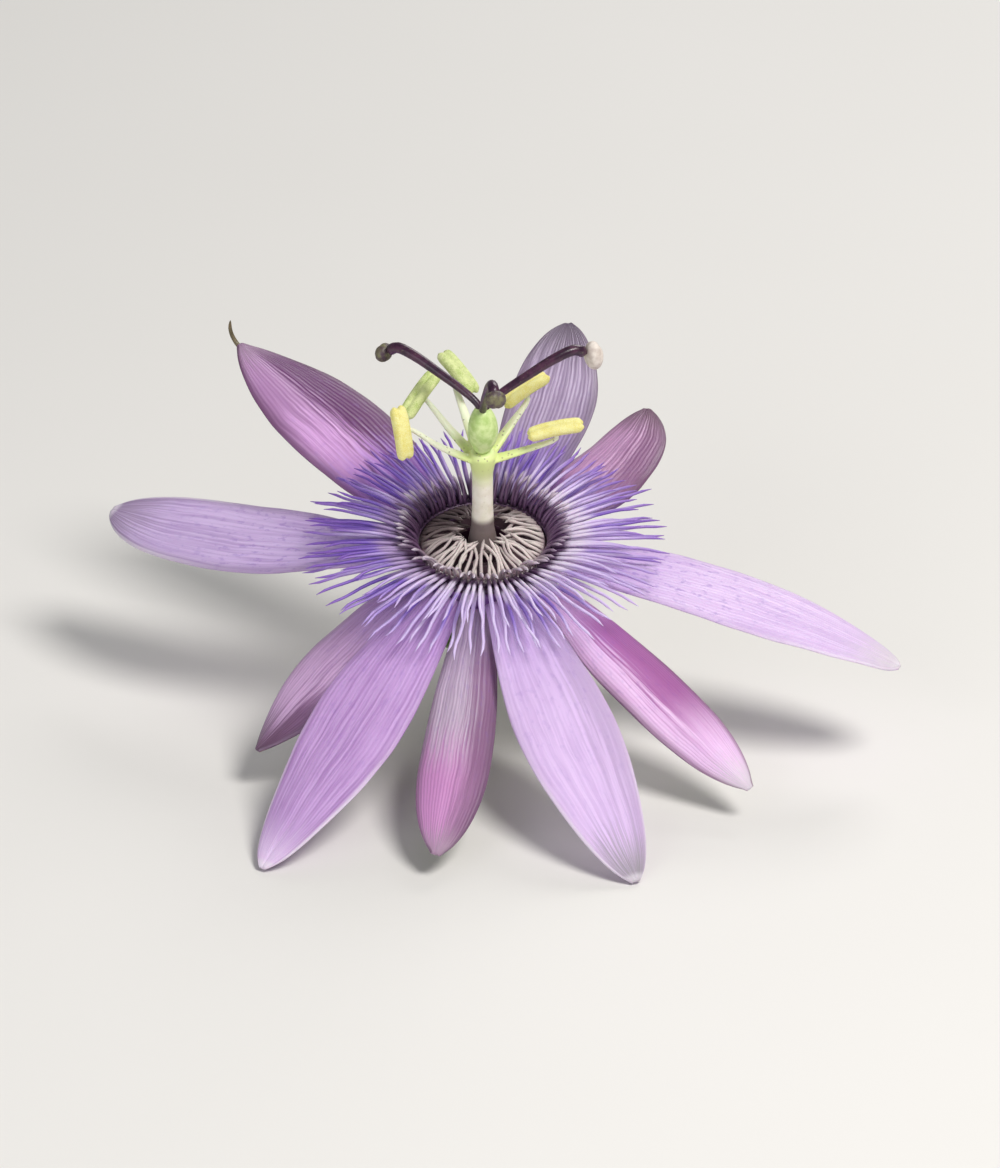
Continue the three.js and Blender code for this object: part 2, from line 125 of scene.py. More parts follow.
RING_RISE = 0.5  # how far it stands up

# heading and pitch say which way the anther points.
STAMENS = [
    dict(azimuth=4, reach=10.2, height=17, heading=6, pitch=10),
    dict(azimuth=54, reach=10.6, height=18, heading=36, pitch=14),
    dict(azimuth=110, reach=11.4, height=19.6, heading=309, pitch=-22),
    dict(azimuth=142, reach=9.6, height=19.4, heading=50, pitch=30),
    dict(azimuth=192, reach=10.2, height=20.5, heading=120, pitch=72),
]
ANTHER = dict(length=7.8, lobe=0.72, apart=1.04, hold=1.55)

# lift raises the style about its foot, and head is the stigma's half sizes.
STYLES = [
    dict(azimuth=24, lift=0, head=(1.25, 1.7, 2.1)),
    dict(azimuth=144, lift=-7, head=(1.1, 1.45, 1.3)),
    dict(azimuth=278, lift=26, head=(1.1, 1.45, 1.3)),
]
STYLE_LINE = [(0.9, 0.35), (3, 1.7), (7, 3.5), (11, 5.1), (13.7, 5.6), (15, 4.9)]

STALK = [(0, 0, -CUP_DEPTH - GAP), (0, 0.2, -16.8), (1.5, 4.6, -22.8)]
STALK += [(4, 14.5, -28.2), (7.5, 28.5, -31.9), (11, 44, -35.1)]
STALK_RADIUS = 1.15
NECK = 0.5
JOINT = dict(at=0.085, spread=0.018, swell=0.45)
BRACT = dict(count=3, first=90, width=9, foot=-16.1, tip=-6.5, reach=12, cupped=0.3)
BRACT_CELLS = (30, 14)
BRACT_KEEL = 0.1


def flower_origin():
    """The flower frame's origin in the row frame, from the box of the calyx cup's solid."""
    low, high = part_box("calyx_cup")
    sin, cos = math.sin(LEAN), math.cos(LEAN)
    y = high.y - MM * (RIM * cos - RIM_FOOT * sin)
    z = high.z - MM * (RIM * sin + RIM_TOP * cos)
    return Vector(((low.x + high.x) / 2, y, z))


ORIGIN = flower_origin()
LAID = Matrix.Translation(ORIGIN) @ Matrix.Rotation(LEAN, 4, "X") @ Matrix.Scale(MM, 4)


# ------ small helpers for shapes


def polar(distance, azimuth, height=0.0):
    """The point at a distance from the axis, an azimuth in degrees and a height."""
    angle = math.radians(azimuth)
    return Vector((distance * math.cos(angle), distance * math.sin(angle), height))


def mix(a, b, share):
    return a + (b - a) * share


def eased(value, low, high):
    """0 below low, 1 above high and a smooth rise between them."""
    share = min(max((value - low) / (high - low), 0.0), 1.0)
    return share * share * (3 - 2 * share)


def smooth_line(points, steps):
    """steps + 1 points, evenly spaced along a smooth line through the given ones."""
    fine = 12
    points = [Vector(p) for p in points]
    ends = [2 * points[0] - points[1], *points, 2 * points[-1] - points[-2]]
    track = []
    for a, b, c, d in zip(ends, ends[1:], ends[2:], ends[3:]):
        before, here, after = (b - a).length ** 0.5, (c - b).length ** 0.5, (d - c).length ** 0.5
        leave = here * ((b - a) / before - (c - a) / (before + here) + (c - b) / here)
        arrive = here * ((c - b) / here - (d - b) / (here + after) + (d - c) / after)
        for k in range(fine):
            s = k / fine
            bend = (s**3 - 2 * s**2 + s) * leave + (s**3 - s**2) * arrive
            track.append(b.lerp(c, s * s * (3 - 2 * s)) + bend)
    track.append(points[-1])
    return evenly(track, steps)


def evenly(track, steps):
    """The same line with steps + 1 evenly spaced points."""
    lengths = [0.0]
    for a, b in zip(track, track[1:]):
        lengths.append(lengths[-1] + (b - a).length)
    spaced, at = [], 0
    for k in range(steps + 1):
        goal = lengths[-1] * k / steps
        while at < len(track) - 2 and lengths[at + 1] < goal:
            at += 1
        spaced.append(track[at].lerp(track[at + 1], (goal - lengths[at]) / (lengths[at + 1] - lengths[at])))
    return spaced


def along(line, index):
    """The direction of a line at one of its points."""
    last = len(line) - 1
    return (line[min(index + 1, last)] - line[max(index - 1, 0)]).normalized()


def rod(bm, line, size, sides, side, mark=0.5):
    """A closed rod drawn along a line. size(t) gives its half thickness and its half width, and the width
    lies along side. The piece's own map runs along the rod, and holds the mark across it."""
    steps = len(line) - 1
    drum = bmesh.ops.create_cone(bm, cap_ends=True, segments=sides, radius1=1, radius2=1, depth=1)["verts"]
    uprights = {e for v in drum for e in v.link_edges if abs(e.verts[0].co.z - e.verts[1].co.z) > 0.5}
    cut = bmesh.ops.subdivide_edges(bm, edges=list(uprights), cuts=steps - 1)
    inner = {v for v in cut["geom_inner"] if isinstance(v, bmesh.types.BMVert)}
    verts = inner | {edge.other_vert(v) for v in inner for edge in v.link_edges}
    shares = {}
    for vert in verts:
        share = vert.co.z + 0.5
        shares[vert] = share
        index = round(share * steps)
        forward = along(line, index)
        across = (side - forward * side.dot(forward)).normalized()
        thick, wide = size(share)
        vert.co = line[index] + forward.cross(across) * (vert.co.x * thick) + across * (vert.co.y * wide)
    layer = bm.loops.layers.uv.verify()
    for face in {f for v in verts for f in v.link_faces}:
        for loop in face.loops:
            loop[layer].uv = (shares[loop.vert], mark)


def turned(profile, steps):
    """A closed body of revolution about Z from (radius, height) points that start and end on the axis, or
    that close on themselves."""
    bm = bmesh.new()
    on_axis = profile[0][0] < 1e-6
    verts = [bm.verts.new((radius, 0, height)) for radius, height in profile]
    pairs = list(zip(verts, verts[1:])) + ([] if on_axis else [(verts[-1], verts[0])])
    edges = [bm.edges.new(pair) for pair in pairs]
    bmesh.ops.spin(
        bm, geom=verts + edges, cent=(0, 0, 0), axis=(0, 0, 1), angle=math.tau, steps=steps, use_merge=True
    )
    bmesh.ops.remove_doubles(bm, verts=bm.verts, dist=1e-4)
    bmesh.ops.recalc_face_normals(bm, faces=bm.faces)
    return bm


def added(name, data):
    """A new object in the scene."""
    made = bpy.data.objects.new(name, data)
    bpy.context.scene.collection.objects.link(made)
    return made


def piece(bm, node, skins, azimuth=0.0, rounds=0):
    """The finished object from a bmesh in millimetres, standing for its CAD node."""
    bm.transform(LAID @ Matrix.Rotation(math.radians(azimuth), 4, "Z"))
    for face in bm.faces:
        face.smooth = True
    mesh = bpy.data.meshes.new(node + "_detail")
    bm.to_mesh(mesh)
    bm.free()
    made = added(node + "_detail", mesh)
    for skin in skins:
        mesh.materials.append(skin)
    if rounds:
        finer = made.modifiers.new("finer", "SUBSURF")
        finer.levels = finer.render_levels = rounds
    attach(made, "root")
    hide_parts(node)
    return made


# ------ sepals, petals and bracts


def half_width(u, width, sharpness, widest):
    """Half width along a tepal: a narrower root, the widest place, and a tip that closes."""
    u = min(max(u, 0.0), 1.0)
    if u < widest:
        grown = math.sin(math.pi / 2 * u / widest) ** 1.2
        return width / 2 * mix(TEPAL["root_share"], 1, grown)
    past = (u - widest) / (1 - widest)
    return max(width / 2 * max(1 - past**2, 0) ** sharpness, BLADE_TIP / 2)


def tepal_surface(spec, level, sharpness):
    """A tepal's middle surface place(u, v), turned so that its root lies towards +X."""
    start, root = RIM + GAP, spec["root"]
    droop, widest = spec.get("droop", TEPAL["droop"]), spec.get("widest", TEPAL["widest"])
    sharpness = spec.get("sharpness", sharpness)

    def midrib(u):
        distance = mix(start, spec["reach"], u)
        return polar(distance, (spec["tip"] - root) * u, level - spec["hang"] * abs(u) ** droop)

    def place(u, v):
        heading = (midrib(u + 0.01) - midrib(u - 0.01)).normalized()
        side = UP.cross(heading).normalized()
        side.rotate(Matrix.Rotation(math.radians(spec["twist"]) * eased(u, 0.25, 0.9), 3, heading))
        lift_way = heading.cross(side)
        half = half_width(u, spec["width"], sharpness, widest)
        free = eased(u, 0, 0.35)
        phase = TEPAL["ripples"] * u + root / 90 + 0.2 * v
        ripple = TEPAL["ripple"] * v * v * free * math.sin(math.tau * phase)
        crease = spec.get("fold", 0) * free * (math.hypot(v, 0.12) - 0.12)
        crimp = TEPAL["crimp"] * v**4 * free * noise.noise(Vector((9 * u, 1.2 * v, root)))
        furrow = -TEPAL["furrow"] * free * math.exp(-((v / 0.07) ** 2))
        lift = half * (spec["curl"] * v * v - crease) + ripple + crimp + furrow
        return midrib(u) + side * (v * half) + lift_way * lift

    return place


def bract_surface():
    """A bract's middle surface, cupped up round the calyx from the stalk's joint."""
    foot = Vector((STALK_RADIUS + JOINT["swell"] + GAP, 0, BRACT["foot"]))
    knee = Vector((0.82 * BRACT["reach"], 0, BRACT["foot"] + 1))
    end = Vector((BRACT["reach"], 0, BRACT["tip"]))

    def place(u, v):
        share = min(max(u, 0.0), 1.0)
        middle = foot.lerp(knee, share).lerp(knee.lerp(end, share), share)
        heading = mix(knee - foot, end - knee, share).normalized()
        half = max(BRACT["width"] / 2 * math.sin(math.pi * mix(0.12, 1, share)) ** 0.7, BLADE_TIP / 2)
        tooth = 1 + 0.035 * math.sin(54 * share) * abs(v) ** 6
        lift = BRACT["cupped"] * half * v * v - 0.14 * math.exp(-((v / 0.09) ** 2))
        return middle + SIDE * (v * half * tooth) + heading.cross(SIDE) * lift

    return place


def blade(place, long_cells, wide_cells, keel=0.0):
    """A closed blade: a slab drawn from a grid, with each of its points sent to its place. The front faces
    get the first material and the back ones the second. keel thickens the back of the midrib towards the
    tip."""
    bm = bmesh.new()
    layer = bm.loops.layers.uv.verify()
    bmesh.ops.create_grid(bm, x_segments=long_cells, y_segments=wide_cells, size=1)
    for face in bm.faces:
        for loop in face.loops:
            loop[layer].uv = (0.5 + 0.5 * loop.vert.co.x, 0.5 + 0.5 * loop.vert.co.y)
    front = list(bm.faces)
    lower = bmesh.ops.extrude_face_region(bm, geom=front, use_keep_orig=True)["geom"]
    lower_verts = {g for g in lower if isinstance(g, bmesh.types.BMVert)}
    lower_faces = {g for g in lower if isinstance(g, bmesh.types.BMFace)}
    near = 1e-3
    for vert in bm.verts:
        s, v = 0.5 + 0.5 * vert.co.x, vert.co.y
        u = s + 0.12 * s * (1 - s)
        lengthwise = place(u + near, v) - place(u - near, v)
        across = place(u, v + near) - place(u, v - near)
        normal = lengthwise.cross(across).normalized()
        thick = mix(BLADE, BLADE_EDGE, v * v) / 2
        if vert in lower_verts:
            thick = -thick - keel * eased(u, 0.2, 0.95) * math.exp(-((v / 0.13) ** 2))
        vert.co = place(u, v) + normal * thick
    for face in bm.faces:
        face.material_index = 1 if face in lower_faces else 0
    bmesh.ops.recalc_face_normals(bm, faces=bm.faces)
    return bm


def resting(spec, node):
    """The petal's spec with the hang that brings its lowest point to the CAD petal's, found by halving."""
    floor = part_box(node)[0].z
    place_in = LAID @ Matrix.Rotation(math.radians(spec["root"]), 4, "Z")
    enough, short = 40.0, 0.0
    for _ in range(24):
        hang = (enough + short) / 2
        place = tepal_surface({**spec, "hang": hang}, **PETAL)
        lowest = min((place_in @ place(u, v)).z for u in (0.94, 0.97, 1) for v in (-1, 0, 1))
        if lowest - MM * BLADE / 2 > floor:
            short = hang
        else:
            enough = hang
    return {**spec, "hang": short}


def awn(bm, place, bend, out, up):
    """The horn behind a sepal's tip. One that ends above the tip hooks round it."""
    root, tip = place(AWN["start"], 0), place(1, 0)
    end = tip + (tip - root).normalized() * out + UP * up
    knee = root.lerp(tip, bend) - UP * (AWN["under"] * bend)
    root = root - UP * AWN["sink"]
    shares = [k / AWN["steps"] for k in range(AWN["steps"] + 1)]
    line = [root.lerp(knee, share).lerp(knee.lerp(end, share), share) for share in shares]
    before = set(bm.faces)
    rod(bm, line, lambda t: [mix(AWN["radius"], AWN["tip"], t) * taper(t, 0.9)] * 2, 8, SIDE)
    for face in set(bm.faces) - before:
        face.material_index = 2


def taper(t, start):
    """1 until start, then a rounded close to the end of a rod."""
    past = max(t - start, 0) / (1 - start)
    return max(1 - past * past, 0.05) ** 0.5


# ------ corona


def corona_row(row, seed):
    """A ring on the shoulder with its rays, each a tapered arc that strays a little."""
    picked = random.Random(seed)
    foot = RIM_TOP + GAP
    inner, outer = row["inner"], row["inner"] + RING_WIDTH
    top = foot + min(row["rise"], RING_RISE)
    bm = turned([(inner, foot), (outer, foot), (outer, top), (inner, top)], steps=96)
    layer = bm.loops.layers.uv.verify()
    for face in bm.faces:
        for loop in face.loops:
            loop[layer].uv = (0, 0.5)
    long = row["length"] > outer
    for i in range(row["count"]):
        azimuth = 360 / row["count"] * (i + RAY_STRAY["place"] * picked.uniform(-1, 1))
        line = ray_line(row, azimuth, long, picked)
        turn = Matrix.Rotation(math.radians(azimuth), 3, "Z")
        mark = picked.random()
        size = long_ray if long else short_ray
        rod(bm, [turn @ p for p in line], lambda t: size(t, row["thick"]), 5, turn @ SIDE, mark)
    return bm


def long_ray(t, thick):
    return [thick * mix(1, 0.5, t) * taper(t, 0.93)] * 2


def short_ray(t, thick):
    """A short ray ends in a small head."""
    head = 1 + 0.5 * math.exp(-(((t - 0.9) / 0.09) ** 2))
    return [thick * mix(1, 0.6, t) * head * taper(t, 0.9)] * 2


def ray_line(row, azimuth, long, picked):
    """A ray's line in the plane of +X, before it is turned to its azimuth."""
    steps = 10 if long else 6
    loose = 1 if long else 2.4
    length = row["length"] * (1 + RAY_STRAY["length"] * loose * picked.uniform(-1, 0.6))
    stray = RAY_STRAY["elevation"] * loose * picked.uniform(-1, 1)
    sag = RAY_SAG * (0.5 - 0.5 * math.sin(math.radians(azimuth))) if long else 0
    sway = RAY_STRAY["wave"] * picked.uniform(-1, 1) * row.get("sway", 1)
    curl = picked.uniform(-1, 1)
    middle, foot = row["inner"] + RING_WIDTH / 2, RIM_TOP + GAP
    line = [Vector((middle, 0, foot + 0.7 * row["rise"]))]
    for k in range(1, steps + 1):
        t = k / steps
        elevation = math.radians(mix(row["leave"], row["end"], t) + stray - sag * t)
        step = Vector((math.cos(elevation), 0, math.sin(elevation))) * (length / steps)
        point = line[-1] + step
        point.y = sway * t * math.sin(1.5 * math.pi * t)
        if long:
            crimped = eased(t, 0.55, 1)
            point.y += RAY_CRIMP[0] * crimped * math.sin(9 * t + 3 * curl)
            point.z += RAY_CRIMP[1] * crimped * math.cos(11 * t + 5 * curl)
        line.append(point)
    if row["rise"] > RING_RISE:
        line.insert(0, Vector((middle, 0, foot + 0.1)))
    return line


# ------ column, stamens, ovary and styles


def filament_points(stamen):
    """A filament leaves the column level and rises towards its tip."""
    rise = stamen["height"] - FILAMENTS_LEAVE
    azimuth, reach = stamen["azimuth"], stamen["reach"]
    return [
        polar(0.6, azimuth, FILAMENTS_LEAVE),
        polar(2.6, azimuth, FILAMENTS_LEAVE + 0.16 * rise),
        polar(0.6 * reach, azimuth, FILAMENTS_LEAVE + 0.5 * rise),
        polar(reach, azimuth, stamen["height"]),
    ]


def knit(made, voxel, rounds):
    """Grows the shells of a piece together into one skin, smooths the joins and keeps the result."""
    remesh = made.modifiers.new("grown together", "REMESH")
    remesh.mode = "VOXEL"
    remesh.voxel_size = voxel * MM
    remesh.use_smooth_shade = True
    smooth = made.modifiers.new("smooth joins", "SMOOTH")
    smooth.factor = 0.5
    smooth.iterations = rounds
    seen = made.evaluated_get(bpy.context.evaluated_depsgraph_get())
    mesh = bpy.data.meshes.new_from_object(seen)
    made.modifiers.clear()
    made.data = mesh
    return made


def androgynophore():
    """The column with its five free filaments."""
    foot, top = BOSS_TOP + GAP, FILAMENTS_LEAVE
    profile = [(0, foot), (2.4, foot), (2.1, -0.3), (1.9, 0.9), (1.6, 2.6), (1.45, 6), (1.45, top - 2)]
    profile += [(1.8, top), (1.9, COLUMN_TOP - 0.6), (1.5, COLUMN_TOP), (0, COLUMN_TOP)]
    bm = turned(profile, steps=32)
    for stamen in STAMENS:
        side = polar(1, stamen["azimuth"] + 90)
        middle = anther_hold(stamen)[0]
        points = filament_points(stamen)
        line = smooth_line([*points, points[-1].lerp(middle, 0.75)], 18)
        rod(bm, line, lambda t: (mix(0.5, 0.3, t), mix(1.05, 0.34, t)), 10, side)
    return bm


def anther_hold(stamen):
    """Where an anther's middle lies, and the directions of its length and its width."""
    line = smooth_line(filament_points(stamen), 14)
    pitch = math.radians(stamen["pitch"])
    length_way = polar(math.cos(pitch), stamen["heading"], math.sin(pitch))
    offset = along(line, len(line) - 1) + 1.2 * UP
    offset = (offset - length_way * offset.dot(length_way)).normalized() * ANTHER["hold"]
    side = UP.cross(length_way).normalized()
    side = polar(1, stamen["heading"] + 90) if side.length < 0.5 else side
    return line[-1] + offset, length_way, side


def anther(stamen):
    """Two pollen lobes side by side, bowed a little, with a groove where they meet."""
    middle, length_way, side = anther_hold(stamen)
    back = length_way.cross(side)
    bm = bmesh.new()
    for way in (-1, 1):
        line = []
        for k in range(17):
            t = k / 16
            bow = 0.35 * (2 * t - 1) ** 2 - 0.1
            point = middle + length_way * (ANTHER["length"] * (t - 0.5)) - back * bow
            line.append(point + side * (way * ANTHER["apart"] / 2))
        rod(bm, line, lobe_size, 14, side)
    return bm


def lobe_size(t):
    """A lobe is blunt at both ends, a little taller than wide."""
    blunt = (1 - 0.96 * abs(2 * t - 1) ** 9) ** 0.5
    return 1.15 * ANTHER["lobe"] * blunt, ANTHER["lobe"] * blunt


def style_line(lift):
    """The points of a style's line, from inside the ovary's top. The lift swings it up about its foot."""
    swing = Matrix.Rotation(math.radians(lift), 3, Vector((0, -1, 0)))
    foot = Vector((STYLE_LINE[0][0], 0, OVARY_TOP))
    points = [foot + swing @ Vector((out - foot.x, 0, rise)) for out, rise in STYLE_LINE]
    return [Vector((0.1, 0, OVARY_TOP - 0.7)), *points]


def style(lift):
    """A style that thickens towards its end, which meets the stigma."""
    points = style_line(lift)
    line = smooth_line([*points, points[-1] + (points[-1] - points[-2]).normalized() * 2 * GAP], 24)
    bm = bmesh.new()
    rod(bm, line, lambda t: [mix(0.5, 0.8, t) * taper(t, 0.97)] * 2, 14, SIDE)
    return bm


def stigma(lift, head):
    """A rounded head with a cleft across its face, just past the style's end."""
    line = smooth_line(style_line(lift), 20)
    forward = along(line, len(line) - 1)
    middle = line[-1] + forward * (math.hypot(head[0] * forward.x, head[2] * forward.z) + GAP)
    bm = bmesh.new()
    bmesh.ops.create_uvsphere(bm, u_segments=28, v_segments=18, radius=1)
    for vert in bm.verts:
        away = vert.co.normalized()
        cleft = 0.2 * math.exp(-((away.y / 0.2) ** 2)) * max(away.x, 0)
        grain = 0.03 * noise.noise(away * 7)
        vert.co = vert.co * (1 - cleft + grain)
    bmesh.ops.scale(bm, verts=bm.verts, vec=head)
    bmesh.ops.translate(bm, verts=bm.verts, vec=middle)
    return bm


def ovary():
    """An egg shape with three faint lobes."""
    foot = COLUMN_TOP + GAP
    height = OVARY_TOP - foot
    shape = [(0, 0), (1.1, 0), (1.85, 0.24), (2.05, 0.5), (1.7, 0.77), (1.1, 0.95), (0, 1)]
    flat = [Vector((radius, 0, foot + share * height)) for radius, share in shape]
    profile = [(p.x, p.z) for p in smooth_line(flat[1:-1], 16)]
    bm = turned([(0, foot), *profile, (0, OVARY_TOP)], steps=48)
    for vert in bm.verts:
        lobes = 1 + 0.035 * math.cos(3 * math.atan2(vert.co.y, vert.co.x))
        vert.co.x *= lobes
        vert.co.y *= lobes
    return bm


# ------ calyx, limen and stalk


def calyx_cup():
    """The cup, with a nectar groove round a low boss inside and five faint ribs below the rim."""
    outside = [(4.3, -9.9), (7.5, -8.1), (9.9, -5.7), (RIM, RIM_FOOT), (RIM, RIM_TOP - 0.3)]
    line = smooth_line([Vector((r, 0, h)) for r, h in outside], 18)
    foot = [(0, -CUP_DEPTH), (1.7, -CUP_DEPTH), (2.1, -CUP_DEPTH + 0.2)]
    wall = [(p.x, p.z) for p in line]
    shoulder = [(RIM - 0.1, RIM_TOP - 0.05), (RIM - 0.4, RIM_TOP), (SHOULDER + 0.2, RIM_TOP)]
    groove = [(SHOULDER, RIM_TOP - 0.2), (SHOULDER - 0.3, GROOVE_FLOOR + 0.3), (SHOULDER - 0.6, GROOVE_FLOOR)]
    groove += [(BOSS + 0.5, GROOVE_FLOOR), (BOSS + 0.25, GROOVE_FLOOR + 0.2)]
    boss = [(BOSS, BOSS_TOP - 0.1), (BOSS - 0.1, BOSS_TOP), (0, BOSS_TOP)]
    bm = turned(foot + wall + shoulder + groove + boss, steps=96)
    for vert in bm.verts:
        radius = math.hypot(vert.co.x, vert.co.y)
        if vert.co.z < RIM_FOOT and radius > 2.5:
            angle = math.atan2(vert.co.y, vert.co.x)
            swell = 1 - 0.025 * (0.5 - 0.5 * math.cos(5 * (angle - math.radians(SEPALS[3]["root"]))))
            vert.co.x *= swell
            vert.co.y *= swell
    return bm


def limen():
    profile = [(2.75, -1.6), (3.15, -1.6), (3.45, -0.6), (3.7, 0.2), (3.58, 0.4), (3.3, 0.38), (3, -0.6)]
    return turned(profile, steps=64)


def stalk():
    """Thicker at its neck, and at the joint that carries the bracts."""

    def size(t):
        neck = NECK * (1 - eased(t, 0, 0.05))
        joint = JOINT["swell"] * math.exp(-(((t - JOINT["at"]) / JOINT["spread"]) ** 2))
        return [STALK_RADIUS + neck + joint] * 2

    bm = bmesh.new()
    rod(bm, smooth_line(STALK, 90), size, 20, Vector((1, 0, 0)))
    return bm


# ------ materials


def colour(red, green, blue):
    """A colour from its screen values, 0 to 255, in the renderer's linear light."""
    parts = [value / 255 for value in (red, green, blue)]
    return (*[p / 12.92 if p <= 0.04045 else ((p + 0.055) / 1.055) ** 2.4 for p in parts], 1)


class Tree:
    """A node tree under construction, with one short call for each kind of node that the finishes share."""

    def __init__(self, tree):
        self.tree = tree

    def add(self, kind, **inputs):
        node = self.tree.nodes.new("ShaderNode" + kind)
        for name, value in inputs.items():
            self.feed(node.inputs[name.replace("_", " ")], value)
        return node

    def feed(self, socket, value):
        """Links the socket where the value is another node's output, and sets it otherwise."""
        if isinstance(value, bpy.types.NodeSocket):
            self.tree.links.new(value, socket)
        else:
            socket.default_value = value

    def math(self, operation, a, b=0.0):
        node = self.tree.nodes.new("ShaderNodeMath")
        node.operation = operation
        self.feed(node.inputs[0], a)
        self.feed(node.inputs[1], b)
        return node.outputs[0]

    def between(self, value, low, high, out_low=0.0, out_high=1.0):
        """The value mapped smoothly from one range to another, and held at its ends."""
        node = self.add("MapRange", Value=value)
        node.interpolation_type = "SMOOTHSTEP"
        for name, given in zip(("From Min", "From Max", "To Min", "To Max"), (low, high, out_low, out_high)):
            self.feed(node.inputs[name], given)
        return node.outputs["Result"]

    def times(self, a, b):
        return self.math("MULTIPLY", a, b)

    def plus(self, a, b):
        return self.math("ADD", a, b)

    def minus(self, a, b):
        return self.math("SUBTRACT", a, b)

    def blend(self, share, a, b):
        """Two colours blended. Each is another node's output, or three screen values."""
        node = self.tree.nodes.new("ShaderNodeMix")
        node.data_type = "RGBA"
        self.feed(node.inputs[0], share)
        for socket, given in ((6, a), (7, b)):
            self.feed(node.inputs[socket], colour(*given) if isinstance(given, tuple) else given)
        return node.outputs[2]

    def noise(self, vector, scale, detail=2.0, roughness=0.5):
        node = self.add("TexNoise", Vector=vector, Scale=scale, Detail=detail, Roughness=roughness)
        return node.outputs[0]

    def vector(self, x, y, z):
        return self.add("CombineXYZ", X=x, Y=y, Z=z).outputs[0]

    def split(self, vector):
        return self.add("SeparateXYZ", Vector=vector).outputs

    def map(self):
        """The piece's own map: the share along the piece, and the place or the mark across it."""
        return self.split(self.add("TexCoord").outputs["UV"])

    def place(self):
        """The place in the flower's own frame, in millimetres."""
        node = self.add("Mapping", Vector=self.add("TexCoord").outputs["Object"])
        node.vector_type = "TEXTURE"
        node.inputs["Location"].default_value = ORIGIN
        node.inputs["Rotation"].default_value = Euler((LEAN, 0, 0))
        node.inputs["Scale"].default_value = (MM, MM, MM)
        return node.outputs[0]

    def group(self, shared, **inputs):
        node = self.tree.nodes.new("ShaderNodeGroup")
        node.node_tree = shared
        for name, value in inputs.items():
            self.feed(node.inputs[name], value)
        return node.outputs

    def veins(self, u, v, count, mark):
        return self.group(VEINS, Along=u, Across=v, Count=count, Mark=mark)

    def mottling(self, place, size, mark):
        return self.group(MOTTLING, Place=place, Size=size, Mark=mark)

    def veined(self, light, dark, count, mark):
        """The shares along and across a blade, its tone as veins streak it, and their relief."""
        u, v, _ = self.map()
        veins = self.veins(u, v, count, mark)
        return u, v, self.blend(veins["Streak"], light, dark), veins["Relief"]

    def tissue(self, light, dark, size, mark):
        """The place, the tone of tissue mottled between two, and its grain."""
        place = self.place()
        mottling = self.mottling(place, size, mark)
        return place, self.blend(mottling["Patches"], light, dark), mottling["Grain"]


def shared_group(name, inputs, outputs):
    """An empty node group with named sockets. inputs gives a kind and outputs a kind for each name."""
    tree = bpy.data.node_groups.new(name, "ShaderNodeTree")
    for way, sockets in (("INPUT", inputs), ("OUTPUT", outputs)):
        for socket, kind in sockets.items():
            tree.interface.new_socket(socket, in_out=way, socket_type="NodeSocket" + kind)
    given = tree.nodes.new("NodeGroupInput").outputs
    result = tree.nodes.new("NodeGroupOutput").inputs
    return Tree(tree), given, result


def veins_group():
    """Fine veins that run lengthwise in a blade and draw together at its ends."""
    inputs = dict(Along="Float", Across="Float", Count="Float", Mark="Float")
    t, given, result = shared_group("lengthwise veins", inputs, dict(Streak="Float", Relief="Float"))
    drift = t.noise(t.vector(t.times(given["Along"], 3.0), given["Across"], given["Mark"]), 1.5)
    across = t.plus(given["Across"], t.times(drift, 0.08))
    tight = t.times(across, given["Count"])
    long = t.times(given["Along"], 2.2)
    streak = t.noise(t.vector(tight, long, given["Mark"]), 1.0, 4.0, 0.62)
    t.feed(result["Streak"], t.between(streak, 0.34, 0.66))
    ridges = t.math("SINE", t.times(tight, 5.2))
    t.feed(result["Relief"], t.plus(t.times(ridges, 0.35), streak))
    return t.tree


def mottling_group():
    """Uneven tone and fine grain, as living tissue has, at a size in millimetres."""
    inputs = dict(Place="Vector", Size="Float", Mark="Float")
    t, given, result = shared_group("mottling", inputs, dict(Patches="Float", Grain="Float"))
    shift = t.vector(given["Mark"], given["Mark"], given["Mark"])
    moved = t.add("VectorMath")
    t.feed(moved.inputs[0], given["Place"])
    t.feed(moved.inputs[1], shift)
    scale = t.math("DIVIDE", 1.0, given["Size"])
    patches = t.noise(moved.outputs[0], scale, 3.0, 0.55)
    t.feed(result["Patches"], t.between(patches, 0.3, 0.7))
    t.feed(result["Grain"], t.noise(moved.outputs[0], t.times(scale, 9.0), 2.0, 0.6))
    return t.tree


VEINS = veins_group()
MOTTLING = mottling_group()


def skin(name, roughness=0.5, bump=0.3, depth=0.1, **constants):
    """Makes a material of the function below it, which returns the colour and the relief, and may return the
    roughness as well. depth is the relief's height in millimetres."""

    def finish(draw):
        made = bpy.data.materials.new(name)
        made.use_nodes = True
        shader = made.node_tree.nodes["Principled BSDF"]
        t = Tree(made.node_tree)
        tone, relief, *rough = draw(t)
        t.feed(shader.inputs["Base Color"], tone)
        t.feed(shader.inputs["Roughness"], rough[0] if rough else roughness)
        raised = t.add("Bump", Strength=bump, Distance=depth * MM, Height=relief)
        t.feed(shader.inputs["Normal"], raised.outputs[0])
        for socket, value in constants.items():
            shader.inputs[socket.replace("_", " ")].default_value = value
        return made

    return finish


FLESH = dict(Subsurface_Weight=0.22, Subsurface_Radius=(1, 0.6, 0.8), Subsurface_Scale=0.0009)
VELVET = dict(Sheen_Weight=0.12, Sheen_Roughness=0.4)


